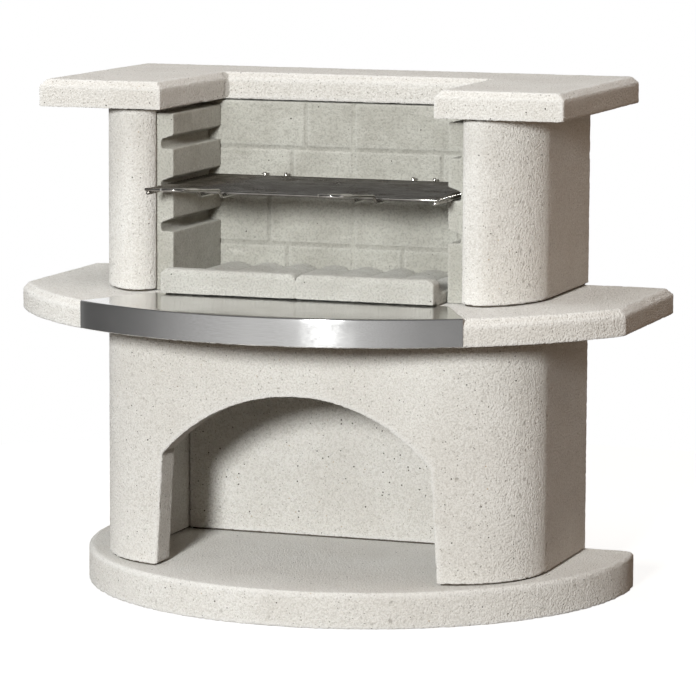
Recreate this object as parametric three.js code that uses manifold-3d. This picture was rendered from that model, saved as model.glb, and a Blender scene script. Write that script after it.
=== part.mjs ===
// Outdoor masonry barbecue: concrete castings laid on mortar beds, a grooved fire box lining,
// a ribbed fire bed, a steel worktop cover and a cooking grid that slides in the lining's grooves.
//
// Sizes are millimetres and degrees. X runs along the front, Y from the front to the back, Z up.
// Depths are measured from the rear face of the walls, so places in front of it are negative.
// The finished group is moved so that its origin lies under the middle of the whole object.

import * as THREE from 'three';
import { mergeVertices } from 'three/addons/utils/BufferGeometryUtils.js';
import Module from 'manifold-3d';

const wasm = await Module();
wasm.setup();

// Clearances and cutting

const touch = 0.3; // between two pieces that touch
const overrun = 10; // how far a cutting solid passes the faces that it cuts
const samePoint = 0.001; // two outline points closer than this are one

// Round stretches are divided at whole multiples of these angles, so concentric arcs stay parallel

const quarterTurn = 90;
const halfTurn = 180;
const fineStep = 3;
const coarseStep = 15;
const shortestShare = 0.25; // of a step, for the first and the last stretch of an arc

// Mortar beds: thin, and set back from the faces of the castings

const mortar = { thickness: 2.4, inset: 6 };
const joint = mortar.thickness + 2 * touch;

// Masonry castings

const base = {
  height: 65,
  sideOverhang: 97, // beyond the lower body at its widest place
  frontOverhang: 134, // in front of the lower body
  rearOverhang: 15,
  cornerRadius: 25,
  chamfer: 4,
};

const body = {
  depth: 442,
  height: 440,
  wall: 65,
  cornerRadius: 180,
  backWall: 62,
};

const arch = {
  crownHeight: 320, // above the foot of the body
  crownRadius: 336,
  springWidth: 508,
  footWidth: 532,
};

const worktop = {
  shelf: 159, // beyond the lower body at each end
  thickness: 49,
  bow: 352.8, // how far the middle of the front stands before its ends
  frontOverhang: 239, // in front of the lower body
  rearOverhang: 9,
  chamfer: 12,
};

const column = {
  height: 326,
  width: 126, // from the lip to the outer face
  lipCover: 10, // how far the lip reaches before the lining
  lipDepth: 70, // from the front line of the body to the back of the lip
  lipFillet: 36,
};

const upperWall = { thickness: 72 };

const cap = {
  sideOverhang: 75,
  thickness: 50,
  frontOverhang: 3,
  rearOverhang: 59,
  openingFrontWidth: 512,
  openingRearWidth: 500,
  lintelDepth: 190,
  chamfer: 12,
};

// Fire box

const lining = {
  clearWidth: 520,
  thickness: 40,
  headGap: 11, // under the cap
  frontGap: 2, // behind the lips of the columns
  wallGap: 3, // air gap to the outer masonry
};

const groove = {
  lowest: 107.5, // from the worktop up to the floor of the lowest groove
  pitch: 75,
  count: 3,
  mouthHeight: 24,
  depth: 24,
  cornerRadius: 5,
  roofSlope: 20, // degrees
};

const backLining = { thickness: 55, headGap: 2 };

const brick = {
  firstCourse: 66,
  course: 89,
  jointWidth: 9,
  jointFloor: 4.5,
  jointDepth: 3.5,
};

// Where the upright joints of each course stand, as shares of a plate's width from the middle joint
const leftJointShares = [0.43, 0.55, 0.4, 0.31];
const rightJointShares = [0.32, 0.68, 0.57, 0.75];

const bed = {
  sideGap: 2.4, // to the side lining
  ribsPerHalf: 4,
  ribRise: 10,
  floor: 21, // thickness in the valleys between the ribs
  rearGap: 2,
};

const kerb = {
  height: 48,
  depth: 40,
  edgeRadius: 10,
  endChamfer: 8,
  rebateHeight: 4,
  rebateDepth: 26,
};

// Steel cover of the worktop

const cover = {
  sheet: 1.5,
  frontWidth: 710,
  rearWidth: 556,
  apronHeight: 48.5,
  tuck: 20, // how far the sheet reaches under the kerb
};

// Cooking grid and its handles

const grid = {
  frontOverhang: 33, // in front of the kerb
  rearGap: 25, // to the back lining
  rodCount: 21,
  rod: 5,
  edgeRod: 6,
  rodOverhang: 6, // of the rods past the middle of the carriers
  carrier: 7,
  carrierReach: 8, // of a carrier's middle into its groove
  weld: 0.6, // how deep the rods are sunk into the carriers
  wireSides: 8,
};

const handle = {
  wire: 6,
  sides: 8,
  spacing: 288, // between the middles of the two handles
  legSpacing: 41,
  tailRise: 5.5, // of the rear ends above the rods
  kneeReach: 8, // in front of the grid, where the legs start to rise
  shoulderReach: 22, // in front of the grid, where the grip starts
  shoulderRise: 12,
  gripReach: 204, // in front of the grid, to the end of the grip
  gripRise: 16,
  bendRadius: 9,
  gripRadius: 20,
  bendSteps: 4,
};

// Levels

const level = {};
level.bodyFoot = base.height + joint;
level.bodyHead = level.bodyFoot + body.height;
level.worktopFoot = level.bodyHead + joint;
level.worktopTop = level.worktopFoot + worktop.thickness;
level.columnFoot = level.worktopTop + joint;
level.columnHead = level.columnFoot + column.height;
level.capFoot = level.columnHead + joint;
level.fireFoot = level.worktopTop + touch;

// Places along the depth and the width that several pieces share

const bodyFront = -body.depth;
const lipRear = bodyFront + column.lipDepth;
const liningFront = lipRear + lining.frontGap;
const backLiningRear = -upperWall.thickness - lining.wallGap;
const backLiningFront = backLiningRear - backLining.thickness;
const liningFace = lining.clearWidth / 2;
const liningOuter = liningFace + lining.thickness;
const rebateHalf = liningOuter + lining.wallGap;
const lipHalf = liningOuter - column.lipCover;
const bodyHalf = lipHalf + column.width;
const cornerX = bodyHalf - body.cornerRadius;
const cornerY = bodyFront + body.cornerRadius;
const worktopFront = bodyFront - worktop.frontOverhang;
const worktopHalf = bodyHalf + worktop.shelf;
const worktopRadius = (worktopHalf ** 2 + worktop.bow ** 2) / (2 * worktop.bow);
const coverRadius = worktopRadius + touch + cover.sheet;
const coverFront = worktopFront - touch - cover.sheet;
const capRear = cap.rearOverhang;
const gridFront = bodyFront - grid.frontOverhang;
const gridRear = backLiningFront - grid.rearGap;
const gridDepth = gridRear - gridFront;

// Materials

const plainConcrete = { color: 0xdedad2, roughness: 0.93, metalness: 0 };
const fireConcrete = { color: 0xbfbbae, roughness: 0.95, metalness: 0 };
const bedConcrete = { color: 0xb4b0a4, roughness: 0.95, metalness: 0 };
const greyMortar = { color: 0x6d675d, roughness: 0.98, metalness: 0 };
const stainlessSheet = { color: 0xb9b7b0, roughness: 0.28, metalness: 1 };
const brightWire = { color: 0xc9c9c6, roughness: 0.2, metalness: 1 };

// Turning three.js geometry into solids and back

const object = new THREE.Group();
object.name = 'outdoor_masonry_barbecue';
object.position.y = -(coverFront + capRear) / 2;

function solidOf(geometry) {
  geometry.deleteAttribute('normal');
  geometry.deleteAttribute('uv');
  const merged = mergeVertices(geometry);
  return new wasm.Manifold(new wasm.Mesh({
    numProp: 3,
    vertProperties: merged.attributes.position.array,
    triVerts: Uint32Array.from(merged.index.array),
  }));
}

function addPiece(name, solid, finish) {
  const mesh = solid.getMesh();
  const geometry = new THREE.BufferGeometry();
  geometry.setAttribute('position', new THREE.BufferAttribute(mesh.vertProperties, mesh.numProp));
  geometry.setIndex(new THREE.BufferAttribute(mesh.triVerts, 1));
  const material = new THREE.MeshStandardMaterial({ ...finish, flatShading: true });
  const piece = new THREE.Mesh(geometry, material);
  piece.name = name;
  object.add(piece);
}

// Outlines

const point = (x, y) => new THREE.Vector2(x, y);
const mirrored = (points) => points.map((place) => point(-place.x, place.y));

function arc(x, y, radius, from, to, step = fineStep) {
  const direction = Math.sign(to - from);
  const angles = [from];
  let index = direction * (Math.floor(direction * from / step + shortestShare) + 1);
  while (direction * (to / step - index) > shortestShare) {
    angles.push(index * step);
    index += direction;
  }
  angles.push(to);
  return angles.map((angle) => {
    const turn = THREE.MathUtils.degToRad(angle);
    return point(x + radius * Math.cos(turn), y + radius * Math.sin(turn));
  });
}

function outline(...stretches) {
  const points = stretches.flat();
  return points.filter((place, index) => place.distanceTo(points.at(index - 1)) > samePoint);
}

const directionOf = (x, y) => THREE.MathUtils.radToDeg(Math.atan2(y, x));

// Solids from outlines: upright slabs, and profiles pushed along X or Y

function extruded(points, length) {
  return new THREE.ExtrudeGeometry(new THREE.Shape(points), { depth: length, bevelEnabled: false });
}

function slab(points, foot, head) {
  const geometry = extruded(points, head - foot);
  geometry.translate(0, 0, foot);
  return solidOf(geometry);
}

function alongY(points, front, rear) {
  const geometry = extruded(points, rear - front);
  geometry.rotateX(Math.PI / 2);
  geometry.translate(0, rear, 0);
  return solidOf(geometry);
}

function alongX(points, left, right) {
  const geometry = extruded(points, right - left);
  const turn = new THREE.Matrix4();
  turn.makeBasis(
    new THREE.Vector3(0, 1, 0),
    new THREE.Vector3(0, 0, 1),
    new THREE.Vector3(1, 0, 0),
  );
  geometry.applyMatrix4(turn);
  geometry.translate(left, 0, 0);
  return solidOf(geometry);
}

function box(left, right, front, rear, foot, head) {
  const geometry = new THREE.BoxGeometry(right - left, rear - front, head - foot);
  geometry.translate((left + right) / 2, (front + rear) / 2, (foot + head) / 2);
  return solidOf(geometry);
}

// A slab whose top edges are all chamfered

function chamferedSlab(points, foot, height, chamfer) {
  const shape = new THREE.Shape(points);
  const geometry = new THREE.ExtrudeGeometry(shape, {
    depth: height - chamfer,
    bevelEnabled: true,
    bevelThickness: chamfer,
    bevelSize: chamfer,
    bevelOffset: -chamfer,
    bevelSegments: 1,
  });
  geometry.translate(0, 0, foot);
  geometry.computeBoundingBox();
  const { min, max } = geometry.boundingBox;
  const upper = box(
    min.x - overrun, max.x + overrun,
    min.y - overrun, max.y + overrun,
    foot, max.z + overrun,
  );
  return solidOf(geometry).intersect(upper);
}

// Base slab: part of a circle with a straight rear edge and rounded rear corners

function baseOutline() {
  const radius = bodyHalf + base.sideOverhang;
  const centreY = bodyFront - base.frontOverhang + radius;
  const rearY = base.rearOverhang - base.cornerRadius;
  const rearX = Math.sqrt((radius - base.cornerRadius) ** 2 - (rearY - centreY) ** 2);
  const meeting = directionOf(rearX, rearY - centreY);
  return outline(
    arc(0, centreY, radius, -halfTurn - meeting, meeting),
    arc(rearX, rearY, base.cornerRadius, meeting, quarterTurn, coarseStep),
    arc(-rearX, rearY, base.cornerRadius, quarterTurn, halfTurn - meeting, coarseStep),
  );
}

addPiece('base_slab', chamferedSlab(baseOutline(), 0, base.height, base.chamfer), plainConcrete);

// Lower body: a U-shaped wall with rounded front corners; inset draws all its faces in

function wallOutline(inset) {
  const half = bodyHalf - inset;
  const innerHalf = bodyHalf - body.wall + inset;
  const outerRadius = body.cornerRadius - inset;
  const innerRadius = body.cornerRadius - body.wall + inset;
  return outline(
    [point(-half, -inset)],
    arc(-cornerX, cornerY, outerRadius, -halfTurn, -quarterTurn),
    arc(cornerX, cornerY, outerRadius, -quarterTurn, 0),
    [point(half, -inset), point(innerHalf, -inset)],
    arc(cornerX, cornerY, innerRadius, 0, -quarterTurn),
    arc(-cornerX, cornerY, innerRadius, -quarterTurn, -halfTurn),
    [point(-innerHalf, -inset)],
  );
}

// The opening of the wood store: splayed jambs under part of a circle

function archProfile() {
  const springHalf = arch.springWidth / 2;
  const footHalf = arch.footWidth / 2;
  const centreZ = level.bodyFoot + arch.crownHeight - arch.crownRadius;
  const spring = THREE.MathUtils.radToDeg(Math.acos(springHalf / arch.crownRadius));
  return outline(
    [point(-footHalf, level.bodyFoot - overrun), point(footHalf, level.bodyFoot - overrun)],
    [point(footHalf, level.bodyFoot)],
    arc(0, centreZ, arch.crownRadius, spring, halfTurn - spring),
    [point(-footHalf, level.bodyFoot)],
  );
}

const archCut = alongY(archProfile(), bodyFront - overrun, cornerY);
const lowerWall = slab(wallOutline(0), level.bodyFoot, level.bodyHead).subtract(archCut);
addPiece('lower_body', lowerWall, plainConcrete);

const storeWallHalf = bodyHalf - body.wall - touch;
const lowerBackWall = box(
  -storeWallHalf, storeWallHalf, -body.backWall, 0, level.bodyFoot, level.bodyHead,
);
addPiece('lower_back_wall', lowerBackWall, plainConcrete);

// Worktop: a bowed front between straight ends

const worktopCentre = worktopFront + worktopRadius;
const endDirection = directionOf(worktopHalf, worktop.bow - worktopRadius);
const worktopOutline = outline(
  arc(0, worktopCentre, worktopRadius, -halfTurn - endDirection, endDirection),
  [point(worktopHalf, worktop.rearOverhang), point(-worktopHalf, worktop.rearOverhang)],
);
const worktopSlab = chamferedSlab(worktopOutline, level.worktopFoot, worktop.thickness, worktop.chamfer);
addPiece('worktop', worktopSlab, plainConcrete);

// Columns: flush with the lower body outside, with a lip in front of the lining; the beds of mortar
// under and over them use the same outline, drawn in by an inset

function columnOutline(inset) {
  const filletX = lipHalf + column.lipFillet;
  const reach = body.cornerRadius - column.lipFillet;
  const filletY = cornerY - Math.sqrt(reach ** 2 - (filletX - cornerX) ** 2);
  const meeting = directionOf(filletX - cornerX, filletY - cornerY);
  const lipEnd = Math.max(lipRear - inset, filletY);
  const rebate = rebateHalf + inset;
  return outline(
    [point(bodyHalf - inset, -inset)],
    arc(cornerX, cornerY, body.cornerRadius - inset, 0, meeting),
    arc(filletX, filletY, column.lipFillet - inset, meeting, -halfTurn, coarseStep),
    [point(lipHalf + inset, lipEnd), point(rebate, lipEnd), point(rebate, -inset)],
  );
}

const sides = { left: mirrored, right: (points) => points };
for (const [side, placed] of Object.entries(sides)) {
  const shaft = slab(placed(columnOutline(0)), level.columnFoot, level.columnHead);
  addPiece(`${side}_column`, shaft, plainConcrete);
}

const upperWallHalf = rebateHalf - touch;
const upperBackWall = box(
  -upperWallHalf, upperWallHalf, -upperWall.thickness, 0, level.columnFoot, level.columnHead,
);
addPiece('upper_back_wall', upperBackWall, plainConcrete);

// Cap: a U-shaped coping, open at the front over the fire

const capFront = bodyFront - cap.frontOverhang;
const lintelFront = capRear - cap.lintelDepth;
const capHalf = bodyHalf + cap.sideOverhang;
const capOutline = [
  point(-capHalf, capFront),
  point(-cap.openingFrontWidth / 2, capFront),
  point(-cap.openingRearWidth / 2, lintelFront),
  point(cap.openingRearWidth / 2, lintelFront),
  point(cap.openingFrontWidth / 2, capFront),
  point(capHalf, capFront),
  point(capHalf, capRear),
  point(-capHalf, capRear),
];
addPiece('cap', chamferedSlab(capOutline, level.capFoot, cap.thickness, cap.chamfer), plainConcrete);

// Side linings: plates with grooves for the grid, each with a level floor and a roof that rises to its mouth

const roofSlope = THREE.MathUtils.degToRad(groove.roofSlope);
const roofRun = groove.depth - groove.cornerRadius;
const roofDrop = (groove.cornerRadius + roofRun * Math.sin(roofSlope)) / Math.cos(roofSlope);

function grooveProfile(floor) {
  const mouth = floor + groove.mouthHeight;
  const endX = liningFace + roofRun;
  return outline(
    [point(liningFace - overrun, floor)],
    arc(endX, floor + groove.cornerRadius, groove.cornerRadius, -quarterTurn, 0, coarseStep),
    arc(endX, mouth - roofDrop, groove.cornerRadius, 0, quarterTurn - groove.roofSlope, coarseStep),
    [point(liningFace, mouth)],
    [point(liningFace - overrun, mouth)],
  );
}

const grooveFloors = Array.from(
  { length: groove.count },
  (_, index) => level.worktopTop + groove.lowest + index * groove.pitch,
);

const liningRear = backLiningFront - touch;
const liningHead = level.capFoot - lining.headGap;
const liningSection = [
  point(liningFace, level.fireFoot),
  point(liningOuter, level.fireFoot),
  point(liningOuter, liningHead),
  point(liningFace, liningHead),
];
for (const [side, placed] of Object.entries(sides)) {
  let plate = alongY(placed(liningSection), liningFront, liningRear);
  for (const floor of grooveFloors) {
    const cut = alongY(placed(grooveProfile(floor)), liningFront - overrun, liningRear + overrun);
    plate = plate.subtract(cut);
  }
  addPiece(`${side}_lining`, plate, fireConcrete);
}

// Back lining: two plates with a brick pattern of shallow joints, and one such joint where the plates meet

const backLiningHead = level.capFoot - backLining.headGap;

function jointSection(along) {
  const wide = brick.jointWidth / 2;
  const narrow = brick.jointFloor / 2;
  const slope = (wide - narrow) / brick.jointDepth;
  const mouth = wide + slope * overrun;
  return {
    start: along - mouth,
    end: along + mouth,
    floorStart: along - narrow,
    floorEnd: along + narrow,
  };
}

function levelJoint(height, left, right) {
  const section = jointSection(height);
  const floorY = backLiningFront + brick.jointDepth;
  const mouthY = backLiningFront - overrun;
  const profile = [
    point(mouthY, section.start),
    point(floorY, section.floorStart),
    point(floorY, section.floorEnd),
    point(mouthY, section.end),
  ];
  return alongX(profile, left, right);
}

function uprightJoint(x, foot, head) {
  const section = jointSection(x);
  const floorY = backLiningFront + brick.jointDepth;
  const mouthY = backLiningFront - overrun;
  const profile = [
    point(section.start, mouthY),
    point(section.end, mouthY),
    point(section.floorEnd, floorY),
    point(section.floorStart, floorY),
  ];
  return slab(profile, foot, head);
}

function backPlate(left, right, jointPlaces) {
  let plate = box(left, right, backLiningFront, backLiningRear, level.fireFoot, backLiningHead);
  jointPlaces.forEach((x, index) => {
    const foot = level.fireFoot + brick.firstCourse + (index - 1) * brick.course;
    const head = foot + brick.course;
    plate = plate.subtract(uprightJoint(x, foot, head));
    if (index > 0) {
      plate = plate.subtract(levelJoint(foot, left - overrun, right + overrun));
    }
  });
  return plate.subtract(uprightJoint(0, level.fireFoot - overrun, backLiningHead + overrun));
}

const leftJoints = leftJointShares.map((share) => -share * liningOuter);
const rightJoints = rightJointShares.map((share) => share * liningOuter);
addPiece('back_lining_left', backPlate(-liningOuter, -touch / 2, leftJoints), fireConcrete);
addPiece('back_lining_right', backPlate(touch / 2, liningOuter, rightJoints), fireConcrete);

// Fire bed: two halves, each a ribbed floor with a kerb in front; the charcoal lies on the ribs

const bedHalf = liningFace - bed.sideGap;
const bedNear = touch / 2;
const ribHalf = (bedHalf - bedNear) / bed.ribsPerHalf / 2;
const ribRadius = (ribHalf ** 2 + bed.ribRise ** 2) / (2 * bed.ribRise);
const ribSpan = THREE.MathUtils.radToDeg(Math.asin(ribHalf / ribRadius));
const kerbRear = bodyFront + kerb.depth;
const kerbHead = level.fireFoot + kerb.height;

function ribbedSection() {
  const valley = level.fireFoot + bed.floor;
  const stretches = [[point(bedNear, level.fireFoot), point(bedHalf, level.fireFoot)]];
  for (let index = bed.ribsPerHalf - 1; index >= 0; index -= 1) {
    const middle = bedNear + (2 * index + 1) * ribHalf;
    const centreZ = valley + bed.ribRise - ribRadius;
    const start = quarterTurn - ribSpan;
    stretches.push(arc(middle, centreZ, ribRadius, start, halfTurn - start, coarseStep / 2));
  }
  return outline(...stretches);
}

function kerbSection() {
  const radius = kerb.edgeRadius;
  return outline(
    [point(bodyFront, level.worktopTop + kerb.rebateHeight)],
    [point(bodyFront + kerb.rebateDepth, level.worktopTop + kerb.rebateHeight)],
    [point(bodyFront + kerb.rebateDepth, level.fireFoot), point(kerbRear, level.fireFoot)],
    arc(kerbRear - radius, kerbHead - radius, radius, 0, quarterTurn, coarseStep),
    arc(bodyFront + radius, kerbHead - radius, radius, quarterTurn, halfTurn, coarseStep),
  );
}

function kerbEndCut(x, inwards) {
  const cut = kerb.endChamfer;
  return [
    point(x - inwards * overrun, kerbHead - cut - overrun),
    point(x + inwards * (cut + overrun), kerbHead + overrun),
    point(x - inwards * overrun, kerbHead + overrun),
  ];
}

const bedRear = liningRear - bed.rearGap;
for (const [side, placed] of Object.entries(sides)) {
  const kerbSides = placed([point(bedNear, 0), point(bedHalf, 0)]).map((place) => place.x);
  const floor = alongY(placed(ribbedSection()), kerbRear - overrun, bedRear);
  let half = alongX(kerbSection(), Math.min(...kerbSides), Math.max(...kerbSides));
  for (const [x, inwards] of [[bedNear, 1], [bedHalf, -1]]) {
    const cut = alongY(placed(kerbEndCut(x, inwards)), bodyFront - overrun, kerbRear + overrun);
    half = half.subtract(cut);
  }
  addPiece(`fire_bed_${side}`, half.add(floor), bedConcrete);
}

// Steel cover: a sheet on the worktop, tucked under the kerb, with an apron down the bowed front

const coverHead = level.worktopTop + touch + cover.sheet;
const coverHalf = cover.frontWidth / 2;
const apronEnd = -THREE.MathUtils.radToDeg(Math.acos(coverHalf / coverRadius));
const sheetRear = bodyFront + cover.tuck;
const sheetOutline = outline(
  arc(0, worktopCentre, coverRadius, -halfTurn - apronEnd, apronEnd),
  [point(cover.rearWidth / 2, sheetRear), point(-cover.rearWidth / 2, sheetRear)],
);
const apronOutline = outline(
  arc(0, worktopCentre, coverRadius, -halfTurn - apronEnd, apronEnd),
  arc(0, worktopCentre, coverRadius - cover.sheet, apronEnd, -halfTurn - apronEnd),
);
const sheet = slab(sheetOutline, level.worktopTop + touch, coverHead);
const apron = slab(apronOutline, coverHead - cover.apronHeight, coverHead);
addPiece('steel_worktop_cover', sheet.add(apron), stainlessSheet);

// Cooking grid: rods welded across two carriers, which lie on the floors of the middle grooves

const middleFloor = grooveFloors[Math.floor(groove.count / 2)];
const carrierX = liningFace + grid.carrierReach;
const rodLength = 2 * (carrierX + grid.rodOverhang);
const carrierHeight = middleFloor + touch + grid.carrier / 2;
const rodFoot = carrierHeight + grid.carrier / 2 - grid.weld;

function barAlongX(diameter, y, foot) {
  const geometry = new THREE.CylinderGeometry(diameter / 2, diameter / 2, rodLength, grid.wireSides);
  geometry.rotateZ(Math.PI / 2);
  geometry.translate(0, y, foot + diameter / 2);
  return solidOf(geometry);
}

function barAlongY(diameter, x, centre) {
  const geometry = new THREE.CylinderGeometry(diameter / 2, diameter / 2, gridDepth, grid.wireSides);
  geometry.translate(x, (gridFront + gridRear) / 2, centre);
  return solidOf(geometry);
}

function wireGrid() {
  const firstRod = gridFront + grid.edgeRod / 2;
  const pitch = (gridDepth - grid.edgeRod) / (grid.rodCount - 1);
  let wires = barAlongY(grid.carrier, -carrierX, carrierHeight);
  wires = wires.add(barAlongY(grid.carrier, carrierX, carrierHeight));
  for (let index = 0; index < grid.rodCount; index += 1) {
    const atEdge = index === 0 || index === grid.rodCount - 1;
    const diameter = atEdge ? grid.edgeRod : grid.rod;
    wires = wires.add(barAlongX(diameter, firstRod + index * pitch, rodFoot));
  }
  return wires;
}

addPiece('cooking_grid', wireGrid(), brightWire);

// Handles: one bent wire each, under all the rods, hooked up behind them and out to a grip in front

class WirePath extends THREE.Curve {
  constructor(places) {
    super();
    this.places = places;
  }

  getPoint(share, target = new THREE.Vector3()) {
    const position = share * (this.places.length - 1);
    const index = Math.min(Math.floor(position), this.places.length - 2);
    return target.lerpVectors(this.places[index], this.places[index + 1], position - index);
  }

  getPointAt(share, target) {
    return this.getPoint(share, target);
  }

  getTangentAt(share, target = new THREE.Vector3()) {
    const halfStep = 1 / (2 * (this.places.length - 1));
    const before = this.getPoint(Math.max(share - halfStep, 0));
    const after = this.getPoint(Math.min(share + halfStep, 1));
    return target.subVectors(after, before).normalize();
  }

  getSpacedPoints() {
    return this.places;
  }
}

// Corners of a wire, each rounded over the length its own radius gives

function roundedPlaces(corners, radii) {
  const places = [corners[0]];
  for (let index = 1; index < corners.length - 1; index += 1) {
    const corner = corners[index];
    const towardsLast = corners[index - 1].clone().sub(corner).normalize();
    const towardsNext = corners[index + 1].clone().sub(corner).normalize();
    const reach = radii[index] / Math.tan(towardsLast.angleTo(towardsNext) / 2);
    const bend = new THREE.QuadraticBezierCurve3(
      corner.clone().addScaledVector(towardsLast, reach),
      corner,
      corner.clone().addScaledVector(towardsNext, reach),
    );
    places.push(...bend.getPoints(handle.bendSteps));
  }
  places.push(corners.at(-1));
  return places;
}

function handleWire(middle) {
  const legHeight = rodFoot - touch - handle.wire / 2;
  const tailY = gridRear + touch + handle.wire / 2;
  const tailBend = grid.edgeRod / 2 + touch + handle.wire / 2;
  const tailHeight = rodFoot + grid.edgeRod + handle.tailRise;
  const gripFoot = legHeight + handle.shoulderRise;
  const stations = [
    [tailY, tailHeight, 0],
    [tailY, legHeight, tailBend],
    [gridFront - handle.kneeReach, legHeight, handle.bendRadius],
    [gridFront - handle.shoulderReach, gripFoot, handle.bendRadius],
    [gridFront - handle.gripReach, gripFoot + handle.gripRise, handle.gripRadius],
  ];
  const near = middle - handle.legSpacing / 2;
  const far = middle + handle.legSpacing / 2;
  const legs = [
    ...stations.map(([y, z, radius]) => [new THREE.Vector3(near, y, z), radius]),
    ...stations.toReversed().map(([y, z, radius]) => [new THREE.Vector3(far, y, z), radius]),
  ];
  const places = roundedPlaces(legs.map(([corner]) => corner), legs.map(([, radius]) => radius));
  const section = new THREE.Shape(
    arc(0, 0, handle.wire / 2, 0, 2 * halfTurn, 2 * halfTurn / handle.sides).slice(1),
  );
  const geometry = new THREE.ExtrudeGeometry(section, {
    steps: places.length - 1,
    extrudePath: new WirePath(places),
    bevelEnabled: false,
  });
  return solidOf(geometry);
}

addPiece('left_grid_handle', handleWire(-handle.spacing / 2), brightWire);
addPiece('right_grid_handle', handleWire(handle.spacing / 2), brightWire);

// Mortar beds, each between two castings and set back from their faces

function bedOfMortar(name, points, foot) {
  const solid = slab(points, foot + touch, foot + touch + mortar.thickness);
  addPiece(name, solid, greyMortar);
}

function wallStrip(half, thickness) {
  const insetHalf = half - mortar.inset;
  const rear = -mortar.inset;
  const front = mortar.inset - thickness;
  return [
    point(-insetHalf, front),
    point(insetHalf, front),
    point(insetHalf, rear),
    point(-insetHalf, rear),
  ];
}

const footHead = base.height + touch + mortar.thickness;
const footRing = slab(wallOutline(mortar.inset), base.height + touch, footHead);
const footStart = arch.footWidth / 2 + mortar.inset;
const footEnd = bodyHalf + overrun;
for (const [side, placed] of Object.entries(sides)) {
  const [first, last] = placed([point(footStart, 0), point(footEnd, 0)]).map((place) => place.x);
  const reach = box(
    Math.min(first, last), Math.max(first, last),
    bodyFront - overrun, overrun,
    base.height - overrun, footHead + overrun,
  );
  addPiece(`mortar_body_foot_${side}`, footRing.intersect(reach), greyMortar);
}

bedOfMortar('mortar_back_wall_foot', wallStrip(storeWallHalf, body.backWall), base.height);
bedOfMortar('mortar_body_head', wallOutline(mortar.inset), level.bodyHead);
bedOfMortar('mortar_back_wall_head', wallStrip(storeWallHalf, body.backWall), level.bodyHead);
for (const [side, placed] of Object.entries(sides)) {
  const points = placed(columnOutline(mortar.inset));
  bedOfMortar(`mortar_${side}_column_foot`, points, level.worktopTop);
  bedOfMortar(`mortar_${side}_column_head`, points, level.columnHead);
}
const upperStrip = wallStrip(upperWallHalf, upperWall.thickness);
bedOfMortar('mortar_upper_wall_foot', upperStrip, level.worktopTop);
bedOfMortar('mortar_upper_wall_head', upperStrip, level.columnHead);

export default object;
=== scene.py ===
# %% [markdown]
# An outdoor masonry barbecue
#
# The real thing is a kit of concrete castings laid on thin beds of mortar: a base, a body with an arched
# wood store, a worktop, two columns and a cap. Inside stand plates of fire-resistant concrete with grooves
# that carry a wire grid, and a folded sheet of stainless steel covers the middle of the worktop.
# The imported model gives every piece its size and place. This lesson gives the pieces their looks.

import math

import bmesh
import bpy
import numpy as np
from mathutils import Matrix, Vector, noise
from mathutils.bvhtree import BVHTree


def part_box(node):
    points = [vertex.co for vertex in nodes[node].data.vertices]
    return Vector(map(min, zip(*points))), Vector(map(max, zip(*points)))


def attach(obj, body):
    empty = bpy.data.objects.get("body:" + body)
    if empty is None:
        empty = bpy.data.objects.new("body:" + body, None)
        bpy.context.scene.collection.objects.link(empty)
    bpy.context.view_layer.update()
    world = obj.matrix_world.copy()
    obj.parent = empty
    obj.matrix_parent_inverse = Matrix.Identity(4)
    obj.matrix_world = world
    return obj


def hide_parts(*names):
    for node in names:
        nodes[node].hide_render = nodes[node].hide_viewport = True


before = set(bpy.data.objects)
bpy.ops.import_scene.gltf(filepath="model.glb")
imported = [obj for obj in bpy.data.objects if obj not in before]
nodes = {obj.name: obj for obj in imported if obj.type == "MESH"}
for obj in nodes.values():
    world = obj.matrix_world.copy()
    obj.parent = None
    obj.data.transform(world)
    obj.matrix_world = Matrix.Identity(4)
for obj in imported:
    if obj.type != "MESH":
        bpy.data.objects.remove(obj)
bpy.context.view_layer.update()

# %% [markdown]
# Lengths, colours and shader nodes
#
# Blender works in metres, and a maker of barbecues in millimetres, so one value turns the one into the
# other. Colours are written as the hex values that a paint chart gives, in sRGB, while a shader wants
# linear light. One function turns them. A shader is a chain of nodes, and one small function adds a node
# with its settings and its links, which keeps each material short enough to read.

# %% Lengths and colours
MM = 0.001


def linear(code):
    """The linear colour of an sRGB hex value such as "E7E4DC", and full opacity."""
    shares = [int(code[start:start + 2], 16) / 255 for start in (0, 2, 4)]
    levels = [s / 12.92 if s <= 0.04045 else ((s + 0.055) / 1.055) ** 2.4 for s in shares]
    return (*levels, 1.0)


print("pale concrete in linear light:", [round(level, 3) for level in linear("E7E4DC")])


# %% Shader nodes
def add_node(tree, kind, settings=None, links=None):
    """Adds a node. A setting is a property or an input, and a link goes from an output to an input."""
    node = tree.nodes.new(kind)
    for name, value in (settings or {}).items():
        if isinstance(name, str) and hasattr(node, name):
            setattr(node, name, value)
        else:
            node.inputs[name].default_value = value
    for name, source in (links or {}).items():
        tree.links.new(source, node.inputs[name])
    return node


def scale_of(spacing):
    """The scale at which a pattern's features lie spacing metres apart."""
    return 1 / spacing


print("features 4 mm apart need a scale of", scale_of(4 * MM))

# %% [markdown]
# Patterns that several mineral finishes share
#
# Concrete never has one colour. Its cement clouds over a hand's breadth, sand grains of another colour
# lie open at the surface, and air bubbles leave pits, whose shade is painted in as a dark colour. Each of
# these is a pattern in the piece's own coordinates, so it stays in place when the piece moves, and each is
# a value of about 0 to 1. A colour is then laid over another one where the pattern is strong. The Mix
# node keeps its colour inputs behind the number inputs, so their places in the list are named here.
#
# A casting also keeps a mark of where its surface is hollow, which a later step writes on its points.
# The hollows are painted darker, as painted shade together with the dirt that stays there, and the high
# points are rubbed pale, as on anything that stands outdoors.

# %% Colours laid over each other
MIX_FACTOR, MIX_A, MIX_B, MIX_RESULT = 0, 6, 7, 2
OCTAVE_SHARE = 0.55  # how strong each finer octave of a noise is beside the one before it


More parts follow.
